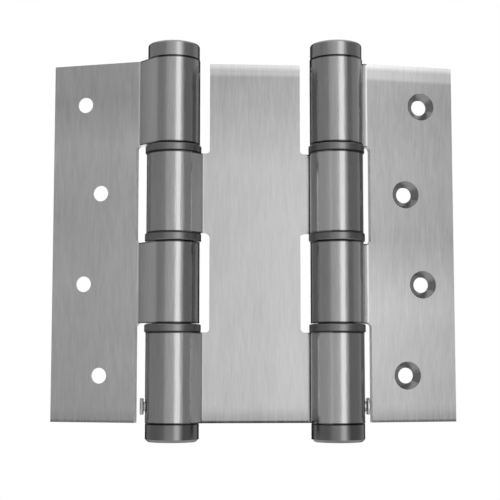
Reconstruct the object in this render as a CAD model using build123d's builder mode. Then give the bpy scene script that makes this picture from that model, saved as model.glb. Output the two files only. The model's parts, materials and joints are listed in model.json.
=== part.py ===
from build123d import *
import os
from math import acos, atan2, cos, degrees, hypot, radians, sin

# Double action spring hinge for a cafe door, folded out nearly flat.
#
# Three leaves of satin stainless sheet turn on two barrels, and each barrel holds a torsion spring.
# The jamb leaf folds behind the centre leaf and the door leaf folds in front of it.
#
# Frame: origin at the middle of the opened hinge, +X towards the door leaf, +Y to the back, +Z up.
# All sizes are in millimetres and all angles in degrees.

# Leaves
leaf_height = 120.0
sheet = 2.5
closed_gap = 1.0              # between two folded leaves
bend_radius = 1.0             # inside the bends of the sheet
outer_leaf_reach = 41.5       # from the barrel's axis to the leaf's outer edge
centre_leaf_drop = 1.3        # of its top edge below the top of the outer leaves
centre_leaf_forward = 1.3     # of the middle of its sheet in front of the origin
window_corner = 1.3
jamb_leaf_angle = 162.0       # at rest, from folded onto the centre leaf
door_leaf_angle = 190.0

# Barrels
barrel_spacing = 54.0
knuckle_radius = 8.85
curl_seam = 0.3               # between the curled edge and the leaf
cut_stand = 3.2               # from the knuckle's outside to the cut edge beside a window
outer_bend_stand = 2.2        # from the knuckle's outside to the bend, along the leaf
centre_bend_stand = 0.8
top_knuckle = 28.5            # length along the barrel
bottom_knuckle = 29.4
bush_height = 3.0             # room between two knuckles
bush_stand = 0.45             # of a bush beyond the knuckles, all round
bush_wall = 0.85
bush_spigot = 5.0
edge_break = 0.3              # on the rims of bushes and caps

# Clearances
fit = 0.05                    # radial, of turned pieces in their bores
running_gap = 0.3             # between a bush and the knuckle that turns on it
spring_clearance = 0.3        # round the spring and its ends

# Caps
top_cap_inset = 0.2           # of a cap inside the knuckle's outside, all round
top_cap_height = 5.4
top_cap_round = 0.8
top_plug_length = 12.0
tension_cap_inset = 0.05
tension_cap_height = 6.0
tension_cap_bevel = 0.9
tension_body_length = 13.0
key_width = 6.0               # across the flats of the key's socket
key_depth = 5.0

# Pins
fixing_pin_radius = 1.3
fixing_pin_drop = 5.0         # below the top of the leaves
fixing_pin_recess = 0.45
tension_pin_radius = 1.6
tension_pin_rise = 5.4        # above the bottom of the leaves
tension_head_radius = 2.8
tension_head_height = 0.9
tension_head_stand = 0.7      # between the knuckle and the head
tension_holes = 4
pin_reach = 3.3               # from the axis to a pin's inner end

# Spring and spindle
spindle_radius = 2.4
spindle_seat = 4.0            # its length inside each cap
wire_width = 1.9
wire_height = 4.0
wire_pitch = 4.6              # the nearest pitch that fits the room between the caps is used
steps_per_turn = 12
spring_end_length = 2.6       # of the straight end inside a cap's slot

# Screw holes
screw_radius = 2.6
countersink_radius = 4.65
countersink_angle = 90.0
screw_pitch = 30.3
screw_lift = 0.75             # of the rows' middle above the leaf's middle
edge_to_outer_screws = 11.2
edge_to_inner_screws = 17.0

# Values that follow
half_height = leaf_height / 2
axis_offset = (sheet + closed_gap) / 2
bore_radius = knuckle_radius - sheet
plug_radius = bore_radius - fit
bush_bore = plug_radius - bush_wall
bush_radius = knuckle_radius + bush_stand
top_cap_radius = knuckle_radius - top_cap_inset
tension_cap_radius = knuckle_radius - tension_cap_inset
outer_leaf_bend = knuckle_radius + outer_bend_stand
leaf_cut = knuckle_radius + cut_stand
centre_leaf_bend = knuckle_radius + centre_bend_stand
across_barrel = 2 * knuckle_radius
middle_knuckle = (leaf_height - top_knuckle - bottom_knuckle - 3 * bush_height) / 2
knuckle_1_bottom = half_height - top_knuckle
knuckle_2_top = knuckle_1_bottom - bush_height
knuckle_2_bottom = knuckle_2_top - middle_knuckle
knuckle_3_top = knuckle_2_bottom - bush_height
knuckle_3_bottom = knuckle_3_top - middle_knuckle
knuckle_4_top = knuckle_3_bottom - bush_height
plug_bottom = half_height - top_plug_length
body_top = tension_body_length - half_height
fixing_pin_height = half_height - fixing_pin_drop
tension_pin_height = tension_pin_rise - half_height
coil_radius = bush_bore - spring_clearance - wire_width / 2
coil_bottom = body_top + spring_clearance
coil_rise = plug_bottom - body_top - 2 * spring_clearance - wire_height
screw_insets = [edge_to_outer_screws, edge_to_inner_screws] * 2
coil_steps = round(coil_rise / wire_pitch * steps_per_turn)
coil_turns = coil_steps / steps_per_turn
coil_pitch = coil_rise / coil_turns
end_reach = spring_clearance + spring_end_length
rows_below_top = (len(screw_insets) - 1) / 2


def barrel_plane(side):
    """The barrel's axis, with x towards the centre leaf. side is -1 at the jamb and 1 at the door."""
    y = -centre_leaf_forward - side * axis_offset
    return Plane((side * barrel_spacing / 2, y, 0), x_dir=(-side, 0, 0))


def leaf_plane(barrel, angle):
    """The same axis turned over, with x along the outer leaf and y towards its countersunk face."""
    return Plane(barrel.origin, x_dir=barrel.x_dir.rotate(Axis.Z, angle), z_dir=(0, 0, -1))


def elevation(plane):
    """An upright plane on the axis: x along the leaf, y up."""
    return Plane(plane.origin, x_dir=plane.x_dir, z_dir=plane.x_dir.cross(Vector(0, 0, 1)))


def radial_plane(plane, height):
    """A plane on the axis whose normal points away from the leaf."""
    return Plane(plane.origin + Vector(0, 0, height), x_dir=(0, 0, 1), z_dir=-plane.x_dir)


def level(plane, height):
    """A flat plane across the barrel, with z up."""
    return Plane(plane.origin + Vector(0, 0, height), x_dir=plane.x_dir)


def leaf_section(plane, bend, reach):
    """Section across leaf and knuckle: plate, crank, and a curl that comes back to the plate."""
    front = -axis_offset - sheet / 2
    back = front + sheet
    crank = degrees(atan2(front, bend) - acos(knuckle_radius / hypot(bend, front)))
    normal = Vector(cos(radians(crank)), sin(radians(crank)))
    back_bend = (bore_radius - back * normal.Y) / normal.X
    curl_end = back + curl_seam
    ends = {r: Vector((r**2 - curl_end**2) ** 0.5, curl_end) for r in (bore_radius, knuckle_radius)}
    with BuildSketch(plane) as section:
        with BuildLine():
            Polyline((reach, back), (reach, front), (bend, front), normal * knuckle_radius)
            Line(ends[bore_radius], ends[knuckle_radius])
            Polyline(normal * bore_radius, (back_bend, back), (reach, back))
            for radius, end in ends.items():
                end_angle = degrees(atan2(end.Y, end.X))
                CenterArc((0, 0), radius, crank, end_angle - crank - 360)
        make_face()
        corners = section.vertices()
        fillet(corners.sort_by_distance((bend, front))[0], bend_radius)
        fillet(corners.sort_by_distance((back_bend, back))[0], bend_radius + sheet)
    return section.sketch


def windows(plane, spans):
    """Outline of the openings that make room for the other leaf's knuckles."""
    with BuildSketch(elevation(plane)) as openings:
        for bottom, top in spans:
            with Locations((leaf_cut, (bottom + top) / 2)):
                Rectangle(leaf_cut + across_barrel, top - bottom, align=(Align.MAX, Align.CENTER))
        fillet(openings.vertices().group_by(Axis.X)[-1], window_corner)
    return openings.sketch


def make_outer_leaf(plane):
    """Jamb or door leaf, with knuckles 1 and 3 of its barrel."""
    screw_face = Plane(plane.origin - plane.y_dir * closed_gap / 2, plane.x_dir, plane.y_dir)
    beyond = half_height + 2 * window_corner
    spans = [(knuckle_3_top, knuckle_1_bottom), (-beyond, knuckle_3_bottom)]
    screws = [
        (outer_leaf_reach - inset, screw_lift + (rows_below_top - row) * screw_pitch)
        for row, inset in enumerate(screw_insets)
    ]
    with BuildPart() as leaf:
        extrude(leaf_section(plane, outer_leaf_bend, outer_leaf_reach), half_height, both=True)
        extrude(windows(plane, spans), across_barrel, both=True, mode=Mode.SUBTRACT)
        with BuildSketch(radial_plane(plane, fixing_pin_height)):
            Circle(fixing_pin_radius + fit)
        extrude(amount=across_barrel, mode=Mode.SUBTRACT)
        with Locations(screw_face):
            with Locations(*screws):
                CounterSinkHole(screw_radius, countersink_radius, 2 * sheet, countersink_angle)
    return leaf


def make_centre_leaf(barrels):
    """Centre leaf, with knuckles 2 and 4 of both barrels, curled to opposite faces."""
    beyond = half_height + 2 * window_corner
    spans = [(knuckle_2_top, beyond), (knuckle_4_top, knuckle_2_bottom)]
    with BuildPart() as leaf:
        for barrel in barrels:
            foot = level(barrel, -half_height)
            section = leaf_section(foot, centre_leaf_bend, barrel_spacing / 2)
            extrude(section, leaf_height - centre_leaf_drop)
        for barrel in barrels:
            extrude(windows(barrel, spans), across_barrel, both=True, mode=Mode.SUBTRACT)
            with BuildSketch(radial_plane(barrel, tension_pin_height)):
                Circle(tension_pin_radius + fit)
            extrude(amount=across_barrel, mode=Mode.SUBTRACT)
    return leaf


def make_bush(barrel, seat, direction):
    """Bearing ring with a spigot each way, seated on the centre leaf's knuckle at height seat."""
    ring = bush_height - running_gap
    axis = Plane(barrel.origin + Vector(0, 0, seat), x_dir=barrel.x_dir, z_dir=(0, 0, direction))
    with BuildPart() as bush:
        with BuildSketch(axis):
            Circle(bush_radius)
        extrude(amount=ring)
        chamfer(bush.edges().filter_by(GeomType.CIRCLE), edge_break)
        with BuildSketch(axis.offset(-bush_spigot)):
            Circle(plug_radius)
        extrude(amount=bush_height + 2 * bush_spigot)
        with BuildSketch(axis.offset(-bush_spigot)):
            Circle(bush_bore)
        extrude(amount=bush_height + 2 * bush_spigot, mode=Mode.SUBTRACT)
    return bush


def spring_slot(turns):
    """Slot from the bore to the rim for a straight end of the spring, in a sketch across the barrel."""
    with Locations(Location((0, 0, 0), (0, 0, 360 * turns))):
        Rectangle(bore_radius, wire_width + 2 * spring_clearance, align=(Align.MIN, Align.CENTER))


def pin_hole(plane, height, radius):
    """Blind radial hole for a pin, drilled from outside to the pin's inner end."""
    with BuildPart() as hole:
        with BuildSketch(radial_plane(plane, height).offset(pin_reach)):
            Circle(radius + fit)
        extrude(amount=knuckle_radius)
    return hole.part


def make_top_cap(leaf, barrel):
    """Cap over the barrel. Its plug holds the spring's upper end and guides the spindle."""
    with BuildPart() as cap:
        with BuildSketch(level(barrel, half_height)):
            Circle(top_cap_radius)
        extrude(amount=top_cap_height)
        rims = cap.edges().filter_by(GeomType.CIRCLE).sort_by(Axis.Z)
        chamfer(rims[0], edge_break)
        fillet(rims[-1], top_cap_round)
        with BuildSketch(level(barrel, plug_bottom)):
            Circle(plug_radius)
        extrude(amount=top_plug_length)
        with BuildSketch(level(barrel, plug_bottom)):
            Circle(spindle_radius + fit)
        extrude(amount=spindle_seat + spring_clearance, mode=Mode.SUBTRACT)
        with BuildSketch(level(barrel, plug_bottom)):
            spring_slot(coil_turns)
        extrude(amount=spring_end_length + spring_clearance, mode=Mode.SUBTRACT)
        add(pin_hole(leaf, fixing_pin_height, fixing_pin_radius), mode=Mode.SUBTRACT)
    return cap


def make_tension_cap(barrel):
    """Cap under the barrel. Turning it by its key socket winds the spring, and the pin locks it."""
    with BuildPart() as cap:
        with BuildSketch(level(barrel, -half_height)):
            Circle(tension_cap_radius)
        extrude(amount=-tension_cap_height)
        rims = cap.edges().filter_by(GeomType.CIRCLE).sort_by(Axis.Z)
        chamfer(rims[0], tension_cap_bevel)
        chamfer(rims[-1], edge_break)
        with BuildSketch(level(barrel, -half_height)):
            Circle(plug_radius)
        extrude(amount=tension_body_length)
        with BuildSketch(level(barrel, body_top)):
            Circle(spindle_radius + fit)
        extrude(amount=-spindle_seat, mode=Mode.SUBTRACT)
        with BuildSketch(level(barrel, body_top)):
            spring_slot(0)
        extrude(amount=-spring_end_length - spring_clearance, mode=Mode.SUBTRACT)
        with BuildSketch(level(barrel, -half_height - tension_cap_height)):
            RegularPolygon(key_width / 2, 6, major_radius=False)
        extrude(amount=key_depth, mode=Mode.SUBTRACT)
        for turn in range(tension_holes):
            turned = Plane(barrel.origin, x_dir=barrel.x_dir.rotate(Axis.Z, 360 * turn / tension_holes))
            add(pin_hole(turned, tension_pin_height, tension_pin_radius), mode=Mode.SUBTRACT)
    return cap


def make_fixing_pin(leaf):
    """Headless pin through the top knuckle's wall into the top cap's plug."""
    with BuildPart() as pin:
        with BuildSketch(radial_plane(leaf, fixing_pin_height).offset(pin_reach)):
            Circle(fixing_pin_radius)
        extrude(amount=knuckle_radius - fixing_pin_recess - pin_reach)
        chamfer(pin.edges().filter_by(GeomType.CIRCLE), edge_break)
    return pin


def make_tension_pin(barrel):
    """Headed pin through the bottom knuckle's wall into one of the tension cap's holes."""
    start = radial_plane(barrel, tension_pin_height)
    head = start.offset(knuckle_radius + tension_head_stand)
    with BuildPart() as pin:
        with BuildSketch(head):
            Circle(tension_head_radius)
        extrude(amount=tension_head_height)
        fillet(pin.edges().filter_by(GeomType.CIRCLE), edge_break)
        with BuildSketch(start.offset(pin_reach)):
            Circle(tension_pin_radius)
        extrude(amount=knuckle_radius + tension_head_stand + tension_head_height / 2 - pin_reach)
    return pin


def make_spindle(barrel):
    """Rod between the two caps, down the middle of the spring."""
    with BuildPart() as spindle:
        with BuildSketch(level(barrel, body_top - spindle_seat)):
            Circle(spindle_radius)
        extrude(amount=plug_bottom - body_top + 2 * spindle_seat)
        chamfer(spindle.edges().filter_by(GeomType.CIRCLE), edge_break)
    return spindle


def make_coil():
    """Torsion spring of flat wire on the z axis, with straight ends for the slots of the caps.

    The wire's section is set round the coil and joined straight from each place to the next.
    """
    start = coil_bottom + wire_height / 2
    with BuildPart() as coil:
        for step in range(coil_steps + 1):
            outward = Vector(1, 0, 0).rotate(Axis.Z, step * 360 / steps_per_turn)
            centre = outward * coil_radius + Vector(0, 0, start + step * coil_rise / coil_steps)
            with BuildSketch(Plane(centre, x_dir=outward, z_dir=outward.rotate(Axis.Z, 90))):
                Rectangle(wire_width, wire_height)
        loft(ruled=True)
        for turns, direction in ((0, -1), (coil_turns, 1)):
            with BuildSketch(Plane.XY.offset(start + turns * coil_pitch)):
                with Locations(Location((0, 0, 0), (0, 0, 360 * turns))):
                    with Locations((coil_radius, 0)):
                        Rectangle(wire_width, wire_width)
            extrude(amount=direction * (wire_height / 2 + end_reach))
    return coil


def make_spring(barrel, coil):
    """The torsion spring, in its barrel."""
    with BuildPart() as spring:
        with Locations(barrel):
            add(coil.part)
    return spring


barrels = {"jamb": barrel_plane(-1), "door": barrel_plane(1)}
leaf_angles = {"jamb": jamb_leaf_angle, "door": door_leaf_angle}
coil = make_coil()
pieces = {"centre_leaf": make_centre_leaf(barrels.values())}
for side, barrel in barrels.items():
    leaf = leaf_plane(barrel, leaf_angles[side])
    pieces |= {
        f"{side}_leaf": make_outer_leaf(leaf),
        f"{side}_top_cap": make_top_cap(leaf, barrel),
        f"{side}_fixing_pin": make_fixing_pin(leaf),
        f"{side}_upper_bush": make_bush(barrel, knuckle_2_top, 1),
        f"{side}_middle_bush": make_bush(barrel, knuckle_2_bottom, -1),
        f"{side}_lower_bush": make_bush(barrel, knuckle_4_top, 1),
        f"{side}_spindle": make_spindle(barrel),
        f"{side}_spring": make_spring(barrel, coil),
        f"{side}_tension_cap": make_tension_cap(barrel),
        f"{side}_tension_pin": make_tension_pin(barrel),
    }

os.makedirs("parts", exist_ok=True)
for name, piece in pieces.items():
    piece.part.label = name
    export_step(piece.part, f"parts/{name}.step")
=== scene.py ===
# %% [markdown]
# # A double action spring hinge in satin stainless steel
#
# The hinge of a cafe door: three folded leaves on two fat barrels, each with a spring inside. The
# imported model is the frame. It says where every piece is, what turns with what, and how big it all is.
# Blender adds the looks: smooth curls, broken edges, brushed steel, and a small studio.

# %% Load the frame
import json
import math

import bmesh
import bpy
from mathutils import Matrix, Vector

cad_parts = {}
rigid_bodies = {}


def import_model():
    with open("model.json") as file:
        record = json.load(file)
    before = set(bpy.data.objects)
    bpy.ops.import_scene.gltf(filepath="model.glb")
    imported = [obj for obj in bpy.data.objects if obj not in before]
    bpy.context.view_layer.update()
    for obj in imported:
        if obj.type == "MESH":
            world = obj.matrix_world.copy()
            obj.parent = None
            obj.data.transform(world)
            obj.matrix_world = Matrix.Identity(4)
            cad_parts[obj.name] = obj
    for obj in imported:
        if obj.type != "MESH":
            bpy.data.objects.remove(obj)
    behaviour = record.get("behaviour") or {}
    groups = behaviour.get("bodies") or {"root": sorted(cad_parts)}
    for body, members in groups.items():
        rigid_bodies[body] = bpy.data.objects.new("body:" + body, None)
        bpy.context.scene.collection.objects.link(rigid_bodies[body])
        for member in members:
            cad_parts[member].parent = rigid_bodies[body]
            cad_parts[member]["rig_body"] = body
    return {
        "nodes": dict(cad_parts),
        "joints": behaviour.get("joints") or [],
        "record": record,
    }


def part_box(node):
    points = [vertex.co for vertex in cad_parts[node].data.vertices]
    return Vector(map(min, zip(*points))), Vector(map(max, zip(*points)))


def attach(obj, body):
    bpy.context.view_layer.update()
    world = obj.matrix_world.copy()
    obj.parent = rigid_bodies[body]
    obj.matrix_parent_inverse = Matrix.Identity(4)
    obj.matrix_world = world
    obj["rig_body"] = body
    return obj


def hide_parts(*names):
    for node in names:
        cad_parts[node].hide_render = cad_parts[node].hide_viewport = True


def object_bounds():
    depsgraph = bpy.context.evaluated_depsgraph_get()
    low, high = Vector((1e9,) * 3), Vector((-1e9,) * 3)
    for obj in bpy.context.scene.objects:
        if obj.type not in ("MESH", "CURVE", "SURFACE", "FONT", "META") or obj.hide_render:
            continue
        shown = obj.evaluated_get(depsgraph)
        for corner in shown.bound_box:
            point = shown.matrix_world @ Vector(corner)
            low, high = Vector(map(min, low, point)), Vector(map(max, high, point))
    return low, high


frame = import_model()
cad_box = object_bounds()
nodes = frame["nodes"]

# %% [markdown]
# ## The camera
#
# The camera comes first, because everything else is judged through it. It stands a little left of the
# hinge and near its lower edge, and looks slightly up and to the right, so the lower rims look flat and
# the upper rims arch.

# %% Camera
MM = 0.001
IMAGE_SIZE = 500
FOCAL_PIXELS = 1199.4
SENSOR = 36.0
CAMERA_PLACE = Vector((-25.2, -394.75, -41.0)) * MM
CAMERA_PITCH = math.radians(5.45)
CAMERA_YAW = math.radians(-3.43)

scene = bpy.context.scene
camera_data = bpy.data.cameras.new("camera")
camera_data.sensor_width = SENSOR
camera_data.lens = FOCAL_PIXELS / IMAGE_SIZE * SENSOR
camera_data.clip_start = 10 * MM
camera = bpy.data.objects.new("camera", camera_data)
camera.location = CAMERA_PLACE
camera.rotation_euler = (math.pi / 2 + CAMERA_PITCH, 0, CAMERA_YAW)
scene.collection.objects.link(camera)
scene.camera = camera
scene.view_settings.view_transform = "Standard"
print("lens:", round(camera_data.lens, 1), "mm")

# %% [markdown]
# ## Shader maths as plain expressions
#
# A Wire is an output socket. Adding or multiplying it adds a Math node, so a mask reads like a formula.
# Every other node comes from Tree.add, which sets a node's settings first and then its sockets.


# %% Sockets with operators
class Wire:
    """One output socket, on which Python's operators add Math nodes."""

    def __init__(self, tree, socket):
        self.tree = tree
        self.socket = socket

    def math(self, operation, *others):
        return self.tree.add("ShaderNodeMath", {"operation": operation}, (self, *others))

    def __add__(self, other):
        return self.math("ADD", other)

    def __mul__(self, other):
        return self.math("MULTIPLY", other)

    def __sub__(self, other):
        return self.math("SUBTRACT", other)

    def __rsub__(self, other):
        return self.tree.add("ShaderNodeMath", {"operation": "SUBTRACT"}, (other, self))

    __radd__ = __add__
    __rmul__ = __mul__

    def step(self, low, high):
        """0 below low, 1 above high, and smooth in between."""
        settings = {"interpolation_type": "SMOOTHSTEP"}
        values = {"Value": self, "From Min": low, "From Max": high}
        return self.tree.add("ShaderNodeMapRange", settings, values)


class Tree:
    """The node tree of a material or a world."""

    def __init__(self, owner):
        owner.use_nodes = True
        self.nodes = owner.node_tree.nodes
        self.links = owner.node_tree.links
        self.nodes.clear()

    def add(self, kind, settings=None, values=(), output=0):
        node = self.nodes.new(kind)
        settings = dict(settings or {})
        stops = settings.pop("stops", None)
        for key, value in settings.items():
            setattr(node, key, value)
        if stops:
            elements = node.color_ramp.elements
            while len(elements) < len(stops):
                elements.new(1.0)
            for element, (place, grey) in zip(elements, stops):
                element.position = place
                element.color = (grey, grey, grey, 1)
        for key, value in values.items() if isinstance(values, dict) else enumerate(values):
            if isinstance(value, Wire):
                self.links.new(value.socket, node.inputs[key])
            else:
                node.inputs[key].default_value = value
        return Wire(self, node.outputs[output]) if node.outputs else None


# %% [markdown]
# ## Brushed steel
#
# Satin stainless is bare metal with fine scratches that run up and down the sheet. Noise that is
# stretched along Z makes them. It moves the roughness and the tone a little and feeds a very low bump,
# and a slow noise adds the soft cloudiness of a hand-brushed face. It all reads Object coordinates, so
# that the grain runs on from a leaf into its knuckles.


# %% Grain of the steel
SCRATCHES = (2600.0, 160.0)
BANDS = (620.0, 90.0)
CLOUDS = (130.0, 45.0)
NOISE_ROUGHNESS = 0.6
BLUISH = 1.01
BAND_GLOSS = 0.12
SCRATCH_GLOSS = 0.10
SCRATCH_DEPTH = 0.3


def stretched_noise(tree, across, along, detail=3.0):
    """Noise with that many features per metre across the grain and along it."""
    place = tree.add("ShaderNodeTexCoord", output=3)
    features = (across, across, along)
    scaled = tree.add("ShaderNodeVectorMath", {"operation": "MULTIPLY"}, (place, features))
    values = {"Vector": scaled, "Scale": 1.0, "Detail": detail, "Roughness": NOISE_ROUGHNESS}
    return tree.add("ShaderNodeTexNoise", values=values)


def steel(name, tone, roughness, streak=0.45, cloud=0.12, wave=0.02, metal=1.0, marks=()):
    """Bare satin steel. Each mark is a function of the tree that adds to the tone somewhere."""
    material = bpy.data.materials.new(name)
    tree = Tree(material)
    scratches = stretched_noise(tree, *SCRATCHES)
    bands = stretched_noise(tree, *BANDS)
    clouds = stretched_noise(tree, *CLOUDS, detail=1.0)
    shade = 1.0 + (scratches - 0.5) * streak + (bands - 0.5) * (streak / 2) + (clouds - 0.5) * cloud
    for mark in marks:
        shade = shade + mark(tree)
    tint = tree.add("ShaderNodeMix", {"data_type": "RGBA", "blend_type": "MULTIPLY"},
                    {0: 1.0, 6: (tone, tone, tone * BLUISH, 1), 7: shade}, output=2)
    rough = roughness + (bands - 0.5) * BAND_GLOSS + (scratches - 0.5) * SCRATCH_GLOSS
    values = {"Strength": 1.0, "Distance": wave * MM, "Height": bands + scratches * SCRATCH_DEPTH}
    relief = tree.add("ShaderNodeBump", values=values)
    values = {"Base Color": tint, "Metallic": metal, "Roughness": rough, "Normal": relief}
    surface = tree.add("ShaderNodeBsdfPrincipled", values=values)
    tree.add("ShaderNodeOutputMaterial", values={"Surface": surface})
    return material


# %% [markdown]
# ## Marks at edges and seams
#
# Some marks paint light and shade into the tone. The leaves are painted lighter and darker by height, a
# painted reflection of the uneven light, and a light band along their top edge is a painted highlight.
# The side of each knuckle that lies next to its own leaf is painted lighter, a painted reflection of the
# light from that leaf. Along the bottom edge a thin dark line with a soft shade above it is painted
# shade, and so is the dark line in each seam between the knuckles, the bushes and the caps. Each mark is
# a term that is added to the tone. Nearly all of them depend on the height alone. The painted light on a
# knuckle's side follows a value that the mesh carries.

# %% Edge and seam marks
HALF_HEIGHT = 60.0 * MM
TOP_KNUCKLE = 28.5 * MM
BOTTOM_KNUCKLE = 29.4 * MM
BUSH_HEIGHT = 3.0 * MM
MIDDLE_KNUCKLE = (2 * HALF_HEIGHT - TOP_KNUCKLE - BOTTOM_KNUCKLE - 3 * BUSH_HEIGHT) / 2
KNUCKLE_1_BOTTOM = HALF_HEIGHT - TOP_KNUCKLE
KNUCKLE_2_TOP = KNUCKLE_1_BOTTOM - BUSH_HEIGHT
KNUCKLE_2_BOTTOM = KNUCKLE_2_TOP - MIDDLE_KNUCKLE
KNUCKLE_3_TOP = KNUCKLE_2_BOTTOM - BUSH_HEIGHT
KNUCKLE_3_BOTTOM = KNUCKLE_3_TOP - MIDDLE_KNUCKLE
KNUCKLE_4_TOP = KNUCKLE_3_BOTTOM - BUSH_HEIGHT
CENTRE_DROP = 1.3 * MM
SEAMS = (HALF_HEIGHT, KNUCKLE_1_BOTTOM, KNUCKLE_2_TOP, KNUCKLE_2_BOTTOM, KNUCKLE_3_TOP,
         KNUCKLE_3_BOTTOM, KNUCKLE_4_TOP, -HALF_HEIGHT)
print("seams:", [round(seam / MM, 2) for seam in SEAMS])
SEAM_LINE = (0.20 * MM, 0.55 * MM)
SEAM_DARKNESS = 0.85
BOTTOM_LINE = (0.5 * MM, 1.0 * MM)
BOTTOM_SHADE = 6.0 * MM
TOP_FADE = 1.5 * MM
TOP_GLINT = (2.4 * MM, 0.3 * MM)
TOP_BAND_LIGHT = 0.32
TOP_GLINT_LIGHT = 0.60


def height_above_middle(tree):
    place = tree.add("ShaderNodeTexCoord", output=3)
    return tree.add("ShaderNodeSeparateXYZ", values=(place,), output=2)


def painted_bottom_shade(line, shade):
    """A painted shade along the bottom edge of a leaf: a dark line, with a soft shade above it."""
    def mark(tree):
        height = height_above_middle(tree)
        low, high = (above - HALF_HEIGHT for above in BOTTOM_LINE)
        return (height.step(low, high) - 1.0) * line \
            + (height.step(-HALF_HEIGHT, BOTTOM_SHADE - HALF_HEIGHT) - 1.0) * shade
    return mark


def painted_top_highlight(drop, width):
    """A painted highlight: a light band of that width along a top edge that lies that far below the top
    of the hinge.
    """
    top = HALF_HEIGHT - drop

    def mark(tree):
        height = height_above_middle(tree)
        return height.step(top - width - TOP_FADE, top - width) * TOP_BAND_LIGHT \
            + height.step(top - TOP_GLINT[0], top - TOP_GLINT[1]) * TOP_GLINT_LIGHT
    return mark


def painted_height_shade(*stops):
    """Painted light and shade: lighter and darker stretches by height, as pairs of a height in
    millimetres and an amount.
    """
    def mark(tree):
        place = height_above_middle(tree) * (0.5 / HALF_HEIGHT) + 0.5
        ramp = [(0.5 + height * MM / HALF_HEIGHT / 2, 0.5 + amount) for height, amount in stops]
        return tree.add("ShaderNodeValToRGB", {"stops": ramp}, (place,)) - 0.5
    return mark


def carried(name, amount):
    """A mark that follows a value which the mesh carries at its vertices."""
    def mark(tree):
        return tree.add("ShaderNodeAttribute", {"attribute_name": name}, output=2) * amount
    return mark


def seam_shade_lines(tree):
    """Painted shade: a dark line at each seam of the barrels."""
    height = height_above_middle(tree)
    distance = (height - SEAMS[0]).math("ABSOLUTE")
    for seam in SEAMS[1:]:
        distance = distance.math("MINIMUM", (height - seam).math("ABSOLUTE"))
    return (distance.step(*SEAM_LINE) - 1.0) * SEAM_DARKNESS


# %% [markdown]
# ## Finishes
#
# The sheets differ a little, as each was brushed by itself. The knuckles are smoother, because the
# curling tool polished them. Sheared edges are matt and light. The bend of an outer leaf and the crank
# are painted lighter, a painted highlight and painted light, and what faces down and the countersinks
# are painted darker, a painted shade. Every finish is the same steel with its own tone, roughness and
# marks, so one function makes them all.

# %% Finishes
# The sheets are painted lighter and darker by height: painted light and shade.
jamb_painted_shade = painted_height_shade((-60, 0.17), (-40, 0.26), (-15, 0.32), (10, 0.28), (32, 0.36), (48, 0.08),
                       (60, 0.14))
centre_painted_shade = painted_height_shade((-60, 0.28), (-40, 0.31), (25, 0.30), (45, 0.04), (60, -0.06))
door_painted_shade = painted_height_shade((-60, 0.02), (-22, 0.18), (0, -0.10), (25, -0.06), (46, -0.16), (60, -0.08))
jamb_sheet = steel("jamb_sheet", 0.42, 0.38, marks=[painted_bottom_shade(0.35, 0.15), jamb_painted_shade])
centre_sheet = steel("centre_sheet", 0.34, 0.38,
                     marks=[painted_bottom_shade(0.75, 0.35), centre_painted_shade, painted_top_highlight(CENTRE_DROP, 3.0 * MM)])
door_sheet = steel("door_sheet", 0.43, 0.38,
                   marks=[painted_bottom_shade(0.40, 0.25), door_painted_shade, painted_top_highlight(0, 4.5 * MM)])
# The outer leaves' bend is painted lighter: a painted highlight.
bend_highlight_steel = steel("bend_highlight_steel", 0.78, 0.34, marks=[painted_bottom_shade(0.35, 0.15)])
sheared_steel = steel("sheared_steel", 0.85, 0.60, streak=0.2, metal=0.1)
# Faces that face down and the countersinks are painted darker: a painted shade.
shaded_steel = steel("shaded_steel", 0.24, 0.22, streak=0.15)
# A knuckle's side next to its leaf is painted lighter, a painted reflection of light from the leaf, and
# its seams get painted shade.
knuckle_steel = steel("knuckle_steel", 0.36, 0.15, streak=0.3, wave=0.03,
                      marks=[seam_shade_lines, carried("leafward_light", 0.5)])
# The crank is painted lighter, which carries on the painted light of the knuckle's side.
crank_lit_steel = steel("crank_lit_steel", 0.58, 0.40, streak=0.3, marks=[seam_shade_lines])
turned_steel = steel("turned_steel", 0.33, 0.24, marks=[seam_shade_lines])
cap_steel = steel("cap_steel", 0.20, 0.18, streak=0.1, cloud=0.5, marks=[seam_shade_lines])
dark_steel = steel("dark_steel", 0.195, 0.30, streak=0.15, marks=[seam_shade_lines])
pin_steel = steel("pin_steel", 0.42, 0.25)
wire_steel = steel("wire_steel", 0.08, 0.4)
print("finishes:", sorted(m.name for m in bpy.data.materials if m.use_nodes))

# %% [markdown]
# ## From a bmesh to a piece
#
# Each piece is drawn in its own frame, where it is easy to draw, and then moved to its barrel in its
# mesh, so that its object stays at the origin. The outer leaves are the mirror image of the centre
# leaf's halves, and a mirror turns a shape inside out, so the faces are made to point outwards again
# after the move. A small bevel breaks the edges.


# %% Pieces
WELD = 0.001 * MM
SHARP_ANGLE = math.radians(30)
TURNED_STEPS = 96
FINE_EDGE = 0.05 * MM
RING_EDGE = 0.06 * MM
SOFT_EDGE = 0.08 * MM
SHEET_EDGE = 0.20 * MM


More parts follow.
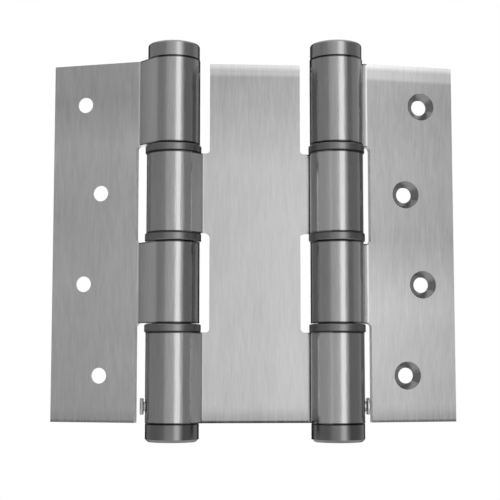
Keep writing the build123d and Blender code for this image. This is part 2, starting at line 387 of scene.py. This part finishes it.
def finish_piece(bm, name, place, node, materials, bevel):
    """Makes the bmesh an object that stands for a CAD node and rides with that node's body."""
    bmesh.ops.transform(bm, matrix=place, verts=bm.verts)
    bmesh.ops.remove_doubles(bm, verts=bm.verts, dist=WELD)
    bmesh.ops.recalc_face_normals(bm, faces=bm.faces)
    mesh = bpy.data.meshes.new(name)
    bm.to_mesh(mesh)
    bm.free()
    for material in materials:
        mesh.materials.append(material)
    mesh.polygons.foreach_set("use_smooth", [True] * len(mesh.polygons))
    piece = bpy.data.objects.new(name, mesh)
    scene.collection.objects.link(piece)
    rounded = piece.modifiers.new("broken edges", "BEVEL")
    rounded.width = bevel
    rounded.segments = 2
    rounded.limit_method = "ANGLE"
    rounded.angle_limit = SHARP_ANGLE
    rounded.harden_normals = True
    rounded.use_clamp_overlap = True
    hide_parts(node)
    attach(piece, nodes[node]["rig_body"])
    print(name, "faces:", len(mesh.polygons))


def turned(profile, steps=TURNED_STEPS):
    """A turned piece: half of its section, as (radius, height) points, spun about the Z axis."""
    bm = bmesh.new()
    points = [bm.verts.new((radius, 0, height)) for radius, height in profile]
    lines = [bm.edges.new(pair) for pair in zip(points, points[1:])]
    bmesh.ops.spin(bm, geom=points + lines, cent=(0, 0, 0), axis=(0, 0, 1), angle=math.tau,
                   steps=steps, use_merge=True)
    bmesh.ops.remove_doubles(bm, verts=bm.verts, dist=WELD)
    bmesh.ops.recalc_face_normals(bm, faces=bm.faces)
    return bm


# %% [markdown]
# ## Two barrels, two frames each
#
# A barrel has an axis, which the joints give. The centre leaf reaches it along the width of the hinge.
# The outer leaf leaves it at its own angle, which the leaf's screw holes give. Both directions make a
# frame with X along the leaf, Y across the sheet and Z up, and the sheet passes the barrel on the side
# of -Y.

# %% Barrel frames
SIDES = ("jamb", "door")
SHEET = 2.5 * MM
CLOSED_GAP = 1.0 * MM
KNUCKLE_RADIUS = 8.85 * MM
AXIS_OFFSET = (SHEET + CLOSED_GAP) / 2
axes = {j["name"]: Vector((j["pos_m"][0], j["pos_m"][1], 0)) for j in frame["joints"]}
plain_normals = {m["name"]: Vector(m["axis"]) for m in frame["record"]["mounts"]}


def leaf_frame(axis, along, across):
    """Matrix from a leaf's own frame to the hinge's."""
    columns = Matrix((along, across, (0, 0, 1))).transposed().to_4x4()
    return Matrix.Translation(axis) @ columns


frames = {}
for side, sign in zip(SIDES, (1, -1)):
    axis = axes[side + "_hinge"]
    frames["centre", side] = leaf_frame(axis, (sign, 0, 0), (0, sign, 0))
    across = -plain_normals[side + "_face"]
    along = Vector((-across.y, across.x, 0))
    frames[side, side] = leaf_frame(axis, along, across)
    print(side, "axis", [round(v / MM, 2) for v in axis], "leaf along", [round(v, 3) for v in along])

# %% [markdown]
# ## The leaves
#
# Each leaf is one sheet. The drawing is the section: a vertex walks along the middle of the sheet, with
# spins for the bends and for the curl. Extruding it upwards gives a wall, and solidify gives it the
# thickness of the sheet. Windows, screw holes and pin holes are then cut away.


# %% Sheet section
BEND_RADIUS = 1.0 * MM
CURL_SEAM = 0.3 * MM
ARC_STEP = math.radians(4)


def walk_section(bm, bend, reach):
    """Vertices and edges along the middle of the sheet, from its outer edge to the end of the curl."""
    middle = KNUCKLE_RADIUS - SHEET / 2
    front = -AXIS_OFFSET - SHEET / 2
    crank = math.atan2(front, bend) - math.acos(KNUCKLE_RADIUS / math.hypot(bend, front))
    corner = (middle + AXIS_OFFSET * math.sin(crank)) / math.cos(crank)
    turn = math.pi / 2 + crank
    radius = BEND_RADIUS + SHEET / 2
    bend_start = corner + radius * math.tan(turn / 2)
    curl_end = math.asin((front + SHEET + CURL_SEAM) / middle)
    first = bm.verts.new((reach, -AXIS_OFFSET, 0))
    last = bmesh.ops.extrude_vert_indiv(bm, verts=[first])["verts"][0]
    last.co = (bend_start, -AXIS_OFFSET, 0)
    arcs = [
        ((bend_start, -AXIS_OFFSET - radius, 0), turn),
        ((0, 0, 0), -(math.tau + crank - curl_end)),
    ]
    for centre, angle in arcs:
        steps = math.ceil(abs(angle) / ARC_STEP)
        spun = bmesh.ops.spin(bm, geom=[last], cent=centre, axis=(0, 0, 1), angle=angle, steps=steps)
        last = next(g for g in spun["geom_last"] if isinstance(g, bmesh.types.BMVert))
        if centre != (0, 0, 0):
            last = bmesh.ops.extrude_vert_indiv(bm, verts=[last])["verts"][0]
            last.co = (middle * math.cos(crank), middle * math.sin(crank), 0)


def upright_wall(bm, height):
    """Extrudes the section upwards from the foot of the leaf."""
    bmesh.ops.translate(bm, verts=bm.verts, vec=(0, 0, -HALF_HEIGHT))
    grown = bmesh.ops.extrude_edge_only(bm, edges=bm.edges)["geom"]
    top = [g for g in grown if isinstance(g, bmesh.types.BMVert)]
    bmesh.ops.translate(bm, verts=top, vec=(0, 0, height))
    bmesh.ops.recalc_face_normals(bm, faces=bm.faces)


def as_object(bm, name):
    mesh = bpy.data.meshes.new(name)
    bm.to_mesh(mesh)
    bm.free()
    thing = bpy.data.objects.new(name, mesh)
    scene.collection.objects.link(thing)
    return thing


def evaluated(thing):
    """The thing's mesh with its modifiers applied, as a bmesh. The thing itself is deleted."""
    bpy.context.view_layer.update()
    graph = bpy.context.evaluated_depsgraph_get()
    bm = bmesh.new()
    bm.from_object(thing, graph)
    bpy.data.objects.remove(thing)
    return bm


def sheet_solid(bm):
    wall = as_object(bm, "wall")
    thick = wall.modifiers.new("sheet", "SOLIDIFY")
    thick.thickness = SHEET
    thick.offset = 0
    thick.use_even_offset = True
    return evaluated(wall)


def cut_away(bm, cutters):
    """Takes the cutters' shapes out of the solid."""
    solid = as_object(bm, "solid")
    shapes = [as_object(cutter, "cutter") for cutter in cutters]
    for shape in shapes:
        cut = solid.modifiers.new("cut", "BOOLEAN")
        cut.operation = "DIFFERENCE"
        cut.solver = "EXACT"
        cut.object = shape
    result = evaluated(solid)
    for shape in shapes:
        bpy.data.objects.remove(shape)
    return result


# %% [markdown]
# ## Cutters
#
# A window is a block whose two corners at the leaf are rounded. A screw hole is a turned shape: a
# straight hole that widens into a cone for the screw's head. A pin hole is a plain cylinder.

# %% Window, screw and pin cutters
WINDOW_CORNER = 1.3 * MM
CORNER_STEPS = 8
SCREW_RADIUS = 2.6 * MM
COUNTERSINK_RADIUS = 4.65 * MM
SCREW_STEPS = 64
PIN_STEPS = 48


def window_cutter(cut, bottom, top):
    """A block from past the barrel to the cut edge, in the leaf's own frame."""
    bm = bmesh.new()
    bmesh.ops.create_cube(bm, size=1.0)
    depth = 4 * KNUCKLE_RADIUS
    bmesh.ops.scale(bm, vec=(depth, depth, top - bottom), verts=bm.verts)
    bmesh.ops.translate(bm, vec=(cut - depth / 2, 0, (top + bottom) / 2), verts=bm.verts)
    corners = [e for e in bm.edges if all(v.co.x > 0 for v in e.verts)
               and abs(e.verts[0].co.y - e.verts[1].co.y) > depth / 2]
    bmesh.ops.bevel(bm, geom=corners, offset=WINDOW_CORNER, affect="EDGES", segments=CORNER_STEPS,
                    profile=0.5, material=-1)
    return bm


def screw_cutter(along, height):
    """A countersunk hole through the leaf, widest on the side of +Y."""
    face = -AXIS_OFFSET + SHEET / 2
    cone = COUNTERSINK_RADIUS - SCREW_RADIUS
    clear = SHEET
    profile = [(0, -SHEET - clear), (SCREW_RADIUS, -SHEET - clear), (SCREW_RADIUS, -cone),
               (COUNTERSINK_RADIUS + clear, clear), (0, clear)]
    bm = turned(profile, SCREW_STEPS)
    bmesh.ops.rotate(bm, verts=bm.verts, cent=(0, 0, 0), matrix=Matrix.Rotation(-math.pi / 2, 3, "X"))
    bmesh.ops.translate(bm, verts=bm.verts, vec=(along, face, height))
    return bm


def radial(bm, height):
    """Lays a turned shape down, so that it points away from the leaf, and lifts it to its height."""
    bmesh.ops.rotate(bm, verts=bm.verts, cent=(0, 0, 0), matrix=Matrix.Rotation(-math.pi / 2, 3, "Y"))
    bmesh.ops.translate(bm, verts=bm.verts, vec=(0, 0, height))
    return bm


def pin_cutter(radius, height, start=0.0):
    """A radial hole from start outwards, on the side away from the leaf."""
    end = 2 * KNUCKLE_RADIUS
    return radial(turned([(0, start), (radius, start), (radius, end), (0, end)], PIN_STEPS), height)


# %% [markdown]
# ## Sizes of the leaves
#
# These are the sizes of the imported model. The windows are cut a little past the barrel, so that the
# neighbour's knuckles can turn in them. The bend lies nearer to the barrel than the cut edge. The screws
# stand in two rows, so that they don't split the wood.

# %% Leaf sizes
BEYOND = HALF_HEIGHT + 2 * WINDOW_CORNER
SCREW_PITCH = 30.3 * MM
SCREW_LIFT = 0.75 * MM
SCREW_INSETS = (11.2 * MM, 17.0 * MM, 11.2 * MM, 17.0 * MM)
MIDDLE_SCREW = (len(SCREW_INSETS) - 1) / 2
OUTER_REACH = 41.5 * MM
LEAF_CUT = KNUCKLE_RADIUS + 3.2 * MM
OUTER_BEND = KNUCKLE_RADIUS + 2.2 * MM
CENTRE_BEND = KNUCKLE_RADIUS + 0.8 * MM
FIT = 0.05 * MM
FIXING_PIN_RADIUS = 1.3 * MM
FIXING_PIN_HEIGHT = HALF_HEIGHT - 5.0 * MM
TENSION_PIN_RADIUS = 1.6 * MM
TENSION_PIN_HEIGHT = 5.4 * MM - HALF_HEIGHT
print("window edge and bends:", [round(v / MM, 2) for v in (LEAF_CUT, OUTER_BEND, CENTRE_BEND)])

# %% [markdown]
# ## Which face has which finish
#
# A face is judged in the frame of the nearest barrel, by where it lies and how it is tilted. Most faces
# are plain sheet or knuckle. The others were sheared, bent or drilled, face down, or belong to the crank
# between the sheet and the barrel. Each leaf's finishes are later given in the order of these names. The
# side of a knuckle next to its own leaf is painted lighter, a painted reflection of light from the leaf,
# so each vertex carries its share of that painted light.

# %% Painting the sheet
SHEET_FACE, KNUCKLE_FACE, SHEARED_FACE, BEND_FACE, SHADED_FACE, CRANK_FACE = range(6)
LEAFWARD_SPAN = (0.24, 0.42)
CRANK_SPAN = (0.9, 1.05)
CRANK_FADE = 0.7
BEND_WIDTH = 0.5 * MM
OFF_KNUCKLE = 1.01
UNDERSIDE_TILT = 0.97
SHEARED_TILT = 0.5
CONE_TILT = 0.9


def smooth_share(value, low, high):
    share = min(max((value - low) / (high - low), 0.0), 1.0)
    return share * share * (3 - 2 * share)


def paint_sheet(bm, barrels, bend):
    """Gives each face its finish, and each vertex its share of the painted light on a knuckle's side
    next to its leaf.
    """
    leafward_light = bm.verts.layers.float.new("leafward_light")
    places = [barrel.inverted() for barrel in barrels]
    for vert in bm.verts:
        here = min((place @ vert.co for place in places), key=lambda p: p.xy.length)
        share = here.x / KNUCKLE_RADIUS
        on_crank = smooth_share(share, *CRANK_SPAN)
        vert[leafward_light] = smooth_share(share, *LEAFWARD_SPAN) * (1 - CRANK_FADE * on_crank)
    for face in bm.faces:
        middle, place = min(((place @ face.calc_center_median(), place) for place in places),
                            key=lambda pair: pair[0].xy.length)
        normal = place.to_3x3() @ face.normal
        # Faces that face down, and the countersinks below, get the painted shade.
        if normal.z < -UNDERSIDE_TILT:
            face.material_index = SHADED_FACE
        elif middle.x > bend and abs(normal.y) < SHEARED_TILT:
            face.material_index = SHEARED_FACE
        elif abs(middle.x - bend) < BEND_WIDTH and middle.y < -AXIS_OFFSET - SHEET / 4:
            face.material_index = BEND_FACE
        elif middle.x > LEAF_CUT and abs(normal.y) < CONE_TILT:
            face.material_index = SHADED_FACE
        elif middle.x < bend and middle.xy.length > KNUCKLE_RADIUS * OFF_KNUCKLE:
            face.material_index = CRANK_FACE
        else:
            face.material_index = KNUCKLE_FACE if middle.x < bend else SHEET_FACE


# %% [markdown]
# ## The outer leaves
#
# Both outer leaves are the same pressing: two windows where the centre leaf's knuckles turn, a hole for
# the fixing pin in the top knuckle, and four countersunk screw holes. One function draws it, and each
# side's frame puts it in its place.


# %% Outer leaves
def outer_leaf():
    bm = bmesh.new()
    walk_section(bm, OUTER_BEND, OUTER_REACH)
    upright_wall(bm, 2 * HALF_HEIGHT)
    cutters = [window_cutter(LEAF_CUT, KNUCKLE_3_TOP, KNUCKLE_1_BOTTOM),
               window_cutter(LEAF_CUT, -BEYOND, KNUCKLE_3_BOTTOM),
               pin_cutter(FIXING_PIN_RADIUS + FIT, FIXING_PIN_HEIGHT)]
    for row, inset in enumerate(SCREW_INSETS):
        height = SCREW_LIFT + (MIDDLE_SCREW - row) * SCREW_PITCH
        cutters.append(screw_cutter(OUTER_REACH - inset, height))
    bm = cut_away(sheet_solid(bm), cutters)
    paint_sheet(bm, [Matrix.Identity(4)], OUTER_BEND)
    return bm


for side, sheet_steel in zip(SIDES, (jamb_sheet, door_sheet)):
    node = side + "_leaf"
    finish_piece(outer_leaf(), node + "_sheet", frames[side, side], node,
                 [sheet_steel, knuckle_steel, sheared_steel, bend_highlight_steel, shaded_steel, knuckle_steel],
                 SHEET_EDGE)

# %% [markdown]
# ## The centre leaf
#
# The centre leaf is one sheet with a curl at either end, so it is drawn as two halves that meet in the
# middle, and the second is the first turned half round. Its windows leave the second and the fourth
# knuckle of each barrel. Its top edge lies a little below the outer leaves' edges.


# %% Centre leaf
def centre_half():
    bm = bmesh.new()
    walk_section(bm, CENTRE_BEND, abs(axes["jamb_hinge"].x))
    return bm


def joined(bms):
    """One bmesh from several, with what meets merged."""
    whole = bmesh.new()
    for bm in bms:
        mesh = bpy.data.meshes.new("half")
        bm.to_mesh(mesh)
        bm.free()
        whole.from_mesh(mesh)
        bpy.data.meshes.remove(mesh)
    bmesh.ops.remove_doubles(whole, verts=whole.verts, dist=WELD)
    return whole


def centre_leaf():
    halves, cutters = [], []
    for side in SIDES:
        place = frames["centre", side]
        half = centre_half()
        cuts = [window_cutter(LEAF_CUT, KNUCKLE_2_TOP, BEYOND),
                window_cutter(LEAF_CUT, KNUCKLE_4_TOP, KNUCKLE_2_BOTTOM),
                pin_cutter(TENSION_PIN_RADIUS + FIT, TENSION_PIN_HEIGHT)]
        for bm in [half, *cuts]:
            bmesh.ops.transform(bm, matrix=place, verts=bm.verts)
        halves.append(half)
        cutters += cuts
    bm = joined(halves)
    upright_wall(bm, 2 * HALF_HEIGHT - CENTRE_DROP)
    bm = cut_away(sheet_solid(bm), cutters)
    paint_sheet(bm, [frames["centre", side] for side in SIDES], CENTRE_BEND)
    return bm


finish_piece(centre_leaf(), "centre_leaf_sheet", Matrix.Identity(4), "centre_leaf",
             [centre_sheet, knuckle_steel, sheared_steel, centre_sheet, shaded_steel, crank_lit_steel],
             SHEET_EDGE)

# %% [markdown]
# ## Turned pieces
#
# Bushes, caps and pins come off a lathe, so each is half a section spun about its axis. The heights and
# the outer radii of bushes and caps are read from the frame's boxes.

# %% Bushes
BUSH_WALL = 0.85 * MM
EDGE_BREAK = 0.3 * MM
BORE_RADIUS = KNUCKLE_RADIUS - SHEET
PLUG_RADIUS = BORE_RADIUS - FIT


def on_barrel(side):
    return Matrix.Translation(axes[side + "_hinge"])


def bush_profile(low, high, ring_low, ring_high, radius):
    bore = PLUG_RADIUS - BUSH_WALL
    return [(bore, low), (PLUG_RADIUS, low), (PLUG_RADIUS, ring_low),
            (radius - EDGE_BREAK, ring_low), (radius, ring_low + EDGE_BREAK),
            (radius, ring_high - EDGE_BREAK), (radius - EDGE_BREAK, ring_high),
            (PLUG_RADIUS, ring_high), (PLUG_RADIUS, high), (bore, high), (bore, low)]


RUNNING_GAP = 0.3 * MM
ring_spans = {
    "upper_bush": (KNUCKLE_2_TOP, KNUCKLE_1_BOTTOM - RUNNING_GAP),
    "middle_bush": (KNUCKLE_3_TOP + RUNNING_GAP, KNUCKLE_2_BOTTOM),
    "lower_bush": (KNUCKLE_4_TOP, KNUCKLE_3_BOTTOM - RUNNING_GAP),
}
for side in SIDES:
    for kind, (ring_low, ring_high) in ring_spans.items():
        node = f"{side}_{kind}"
        low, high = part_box(node)
        bm = turned(bush_profile(low.z, high.z, ring_low, ring_high, (high.x - low.x) / 2))
        finish_piece(bm, node + "_ring", on_barrel(side), node, [dark_steel], RING_EDGE)

# %% [markdown]
# ## Caps
#
# The top cap is a disc with a plug that fills the bore. Its upper rim is rounded and its plug is bored
# for the spindle. The tension cap hangs under the barrel. Its lower rim is bevelled, a hexagonal socket
# takes the key that winds the spring, and four radial holes wait for the locking pin. The round parts
# come from the spun section, and only the socket, the holes and the slots for the spring's ends are cut.

# %% Caps
TOP_CAP_ROUND = 0.8 * MM
TENSION_CAP_BEVEL = 0.9 * MM
ROUND_STEPS = 6
SPINDLE_BORE = 2.4 * MM + FIT
SPINDLE_SEAT = 4.0 * MM
KEY_WIDTH = 6.0 * MM
KEY_DEPTH = 5.0 * MM
SLOT_WIDTH = 2.5 * MM
SLOT_DEPTH = 2.9 * MM
SPRING_END_TURN = 2 / 3
PIN_REACH = 3.3 * MM
TENSION_HOLES = 4


def rounded_rim(radius, top, rounding):
    """Points of a rounded rim, from the wall to the upper face."""
    points = []
    for step in range(ROUND_STEPS + 1):
        angle = step / ROUND_STEPS * math.pi / 2
        inwards, downwards = 1 - math.cos(angle), 1 - math.sin(angle)
        points.append((radius - rounding * inwards, top - rounding * downwards))
    return points


def slot_cutter(turn, bottom, top):
    """A block from the bore to the rim for a straight end of the spring."""
    bm = bmesh.new()
    bmesh.ops.create_cube(bm, size=1.0)
    bmesh.ops.scale(bm, vec=(BORE_RADIUS, SLOT_WIDTH, top - bottom), verts=bm.verts)
    bmesh.ops.translate(bm, vec=(BORE_RADIUS / 2, 0, (top + bottom) / 2), verts=bm.verts)
    bmesh.ops.rotate(bm, verts=bm.verts, cent=(0, 0, 0), matrix=Matrix.Rotation(turn * math.tau, 3, "Z"))
    return bm


def key_cutter(bottom):
    """The hexagonal socket for the key."""
    bm = bmesh.new()
    across_corners = KEY_WIDTH / math.cos(math.pi / 6)
    bmesh.ops.create_cone(bm, cap_ends=True, segments=6, radius1=across_corners / 2,
                          radius2=across_corners / 2, depth=2 * KEY_DEPTH)
    bmesh.ops.translate(bm, vec=(0, 0, bottom), verts=bm.verts)
    return bm


for side in SIDES:
    node = side + "_top_cap"
    low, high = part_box(node)
    radius = (high.x - low.x) / 2
    bm = turned([(0, low.z + SPINDLE_SEAT), (SPINDLE_BORE, low.z + SPINDLE_SEAT), (SPINDLE_BORE, low.z),
                 (PLUG_RADIUS, low.z), (PLUG_RADIUS, HALF_HEIGHT), (radius - EDGE_BREAK, HALF_HEIGHT),
                 (radius, HALF_HEIGHT + EDGE_BREAK), *rounded_rim(radius, high.z, TOP_CAP_ROUND),
                 (0, high.z)])
    bm = cut_away(bm, [slot_cutter(SPRING_END_TURN, low.z - SLOT_DEPTH, low.z + SLOT_DEPTH)])
    to_leaf = frames[side, side].inverted() @ frames["centre", side]
    bmesh.ops.transform(bm, matrix=to_leaf, verts=bm.verts)
    bm = cut_away(bm, [pin_cutter(FIXING_PIN_RADIUS + FIT, FIXING_PIN_HEIGHT, PIN_REACH)])
    finish_piece(bm, node + "_disc", frames[side, side], node, [turned_steel], FINE_EDGE)

    node = side + "_tension_cap"
    low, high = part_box(node)
    radius = (high.x - low.x) / 2
    bm = turned([(0, low.z), (radius - TENSION_CAP_BEVEL, low.z), (radius, low.z + TENSION_CAP_BEVEL),
                 (radius, -HALF_HEIGHT - EDGE_BREAK), (radius - EDGE_BREAK, -HALF_HEIGHT),
                 (PLUG_RADIUS, -HALF_HEIGHT), (PLUG_RADIUS, high.z), (SPINDLE_BORE, high.z),
                 (SPINDLE_BORE, high.z - SPINDLE_SEAT), (0, high.z - SPINDLE_SEAT)])
    cutters = [key_cutter(low.z), slot_cutter(0, high.z - SLOT_DEPTH, high.z + SLOT_DEPTH)]
    for hole in range(TENSION_HOLES):
        cutter = pin_cutter(TENSION_PIN_RADIUS + FIT, TENSION_PIN_HEIGHT, PIN_REACH)
        turn = Matrix.Rotation(hole / TENSION_HOLES * math.tau, 3, "Z")
        bmesh.ops.rotate(cutter, verts=cutter.verts, cent=(0, 0, 0), matrix=turn)
        cutters.append(cutter)
    bm = cut_away(bm, cutters)
    finish_piece(bm, node + "_disc", frames["centre", side], node, [cap_steel], SOFT_EDGE)

# %% [markdown]
# ## Pins
#
# The fixing pin is a short headless dowel, sunk a little below the top knuckle's surface. The tension
# pin has a flat round head, by which pliers pull it out when the spring is wound. Both are spun about
# their own axis and then laid on their side.

# %% Pins
FIXING_PIN_RECESS = 0.45 * MM
HEAD_STAND = 0.35 * MM
HEAD_HEIGHT = 1.25 * MM
HEAD_ROUND = 0.45 * MM
HEAD_RADIUS = 2.8 * MM

for side in SIDES:
    end = KNUCKLE_RADIUS - FIXING_PIN_RECESS
    pin = turned([(0, PIN_REACH), (FIXING_PIN_RADIUS - EDGE_BREAK, PIN_REACH),
                  (FIXING_PIN_RADIUS, PIN_REACH + EDGE_BREAK), (FIXING_PIN_RADIUS, end - EDGE_BREAK),
                  (FIXING_PIN_RADIUS - EDGE_BREAK, end), (0, end)], PIN_STEPS)
    node = side + "_fixing_pin"
    finish_piece(radial(pin, FIXING_PIN_HEIGHT), node + "_dowel", frames[side, side], node,
                 [pin_steel], FINE_EDGE)
    neck = KNUCKLE_RADIUS + HEAD_STAND
    end = neck + HEAD_HEIGHT
    pin = turned([(0, PIN_REACH), (TENSION_PIN_RADIUS, PIN_REACH), (TENSION_PIN_RADIUS, neck),
                  (HEAD_RADIUS - EDGE_BREAK, neck), (HEAD_RADIUS, neck + EDGE_BREAK),
                  *rounded_rim(HEAD_RADIUS, end, HEAD_ROUND), (0, end)], PIN_STEPS)
    node = side + "_tension_pin"
    finish_piece(radial(pin, TENSION_PIN_HEIGHT), node + "_headed", frames["centre", side], node,
                 [pin_steel], SOFT_EDGE)

# %% [markdown]
# ## What stays as it was packed
#
# The springs and their spindles are hidden in the barrels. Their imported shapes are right, so they only
# get a finish: oil-black drawn wire for the spring, bright ground rod for the spindle.

# %% Finishes of the hidden pieces
for side in SIDES:
    for kind, finish in (("spring", wire_steel), ("spindle", pin_steel)):
        for material_slot in nodes[f"{side}_{kind}"].material_slots:
            material_slot.material = finish
        print(f"{side}_{kind}", "finish:", finish.name)

# %% [markdown]
# ## A small studio
#
# Bare metal shows its surroundings, so the surroundings are designed. The hinge hangs in a round tent
# whose walls are mid grey in front and darker at the sides, with one tall bright strip to the right of
# the camera and a second one behind the hinge, between nearly black walls. The first strip draws the
# bright line down each barrel, and the walls beside it draw the grey bands. The tent is seen in
# reflections alone, so it neither hides the hinge from another camera nor throws a shadow. Its tone
# depends only on the direction, as a real tent's would.

# %% Tent
TENT_RADIUS = 0.9
TENT_HEIGHT = 1.6
TENT_STEPS = 96
TENT_PEAK = 2.0
TENT_TONES = (  # azimuth in degrees, tone
    (-180, 1.7), (-172, 1.4), (-166, 0.04), (-140, 0.04), (-126, 0.50), (-110, 0.42), (-60, 0.42),
    (-38, 0.48), (-30, 0.75), (-2, 0.90), (6, 1.1), (12, 2.0), (28, 2.0), (32, 0.9), (39, 0.70),
    (46, 0.28), (90, 0.30), (110, 0.45), (126, 0.50), (144, 0.04), (166, 0.04), (172, 1.4), (180, 1.7),
)


def tent_wall():
    """A glowing wall with a tone for each compass direction, 0 towards the front and 90 to the right."""
    material = bpy.data.materials.new("tent_wall")
    tree = Tree(material)
    place = tree.add("ShaderNodeTexCoord", output=3)
    right, back = [tree.add("ShaderNodeSeparateXYZ", values=(place,), output=axis) for axis in range(2)]
    turn = right.math("ARCTAN2", back * -1.0) * (1 / math.tau) + 0.5
    stops = [(azimuth / 360 + 0.5, tone / TENT_PEAK) for azimuth, tone in TENT_TONES]
    tones = tree.add("ShaderNodeValToRGB", {"stops": stops}, (turn,))
    surface = tree.add("ShaderNodeEmission", values={"Color": tones, "Strength": TENT_PEAK})
    tree.add("ShaderNodeOutputMaterial", values={"Surface": surface})
    return material


def stage_object(bm, name, material):
    thing = as_object(bm, name)
    thing.data.materials.append(material)
    return thing


bm = bmesh.new()
bmesh.ops.create_cone(bm, cap_ends=False, segments=TENT_STEPS, radius1=TENT_RADIUS,
                      radius2=TENT_RADIUS, depth=TENT_HEIGHT)
tent = stage_object(bm, "tent", tent_wall())
tent.visible_camera = False
tent.visible_diffuse = False
tent.visible_shadow = False
tent.visible_transmission = False
print("tent tones:", len(TENT_TONES))

# %% [markdown]
# ## Floor, world and lamp
#
# The hinge hangs in the air, as it does on its door, and the floor lies a hand's breadth below it. It
# is pale and keeps the hinge's shadow. It fades out before its edge, so that it runs on into the white
# world without a line. The world is white where the camera, a reflection or a refraction looks at it,
# and a little less as a light, which leaves room for one soft lamp to draw the shadow.

# %% Floor
FLOOR_DROP = 100 * MM
FLOOR_LEVEL = cad_box[0].z - FLOOR_DROP
FLOOR_RADIUS = 0.8
FLOOR_FADE = (0.10, 0.45)
FLOOR_COLOUR = (0.95, 0.95, 0.95, 1)
WHITE = (1, 1, 1, 1)


def floor_material():
    material = bpy.data.materials.new("pale_floor")
    tree = Tree(material)
    place = tree.add("ShaderNodeTexCoord", output=3)
    distance = tree.add("ShaderNodeVectorMath", {"operation": "LENGTH"}, (place,), output=1)
    paint = tree.add("ShaderNodeBsdfDiffuse", values=(FLOOR_COLOUR,))
    clear = tree.add("ShaderNodeBsdfTransparent")
    surface = tree.add("ShaderNodeMixShader", values=(distance.step(*FLOOR_FADE), paint, clear))
    tree.add("ShaderNodeOutputMaterial", values={"Surface": surface})
    return material


bm = bmesh.new()
bmesh.ops.create_circle(bm, cap_ends=True, segments=TENT_STEPS, radius=FLOOR_RADIUS)
bmesh.ops.translate(bm, verts=bm.verts, vec=(0, 0, FLOOR_LEVEL))
stage_object(bm, "floor", floor_material())
print("floor:", round((cad_box[0].z - FLOOR_LEVEL) / MM), "mm below the hinge")

# %% World and lamp
WORLD_LIGHT = 0.95
LAMP_PLACE = Vector((-0.35, -0.6, 0.9))
LAMP_SIZE = 0.5
LAMP_POWER = 2.0

world = bpy.data.worlds.new("studio")
scene.world = world
tree = Tree(world)
seen = [tree.add("ShaderNodeLightPath", output=name) for name in
        ("Is Camera Ray", "Is Glossy Ray", "Is Transmission Ray")]
light = tree.add("ShaderNodeBackground", values=(WHITE, WORLD_LIGHT))
look = tree.add("ShaderNodeBackground", values=(WHITE, 1.0))
anything = seen[0].math("MAXIMUM", seen[1]).math("MAXIMUM", seen[2])
surface = tree.add("ShaderNodeMixShader", values=(anything, light, look))
tree.add("ShaderNodeOutputWorld", values={"Surface": surface})

lamp_data = bpy.data.lights.new("soft_lamp", "AREA")
lamp_data.shape = "SQUARE"
lamp_data.size = LAMP_SIZE
lamp_data.energy = LAMP_POWER
lamp = bpy.data.objects.new("soft_lamp", lamp_data)
lamp.location = LAMP_PLACE
lamp.rotation_euler = (-LAMP_PLACE).to_track_quat("-Z", "Y").to_euler()
lamp.visible_glossy = False
scene.collection.objects.link(lamp)
print("lamp:", LAMP_POWER, "W, world as a light:", WORLD_LIGHT)
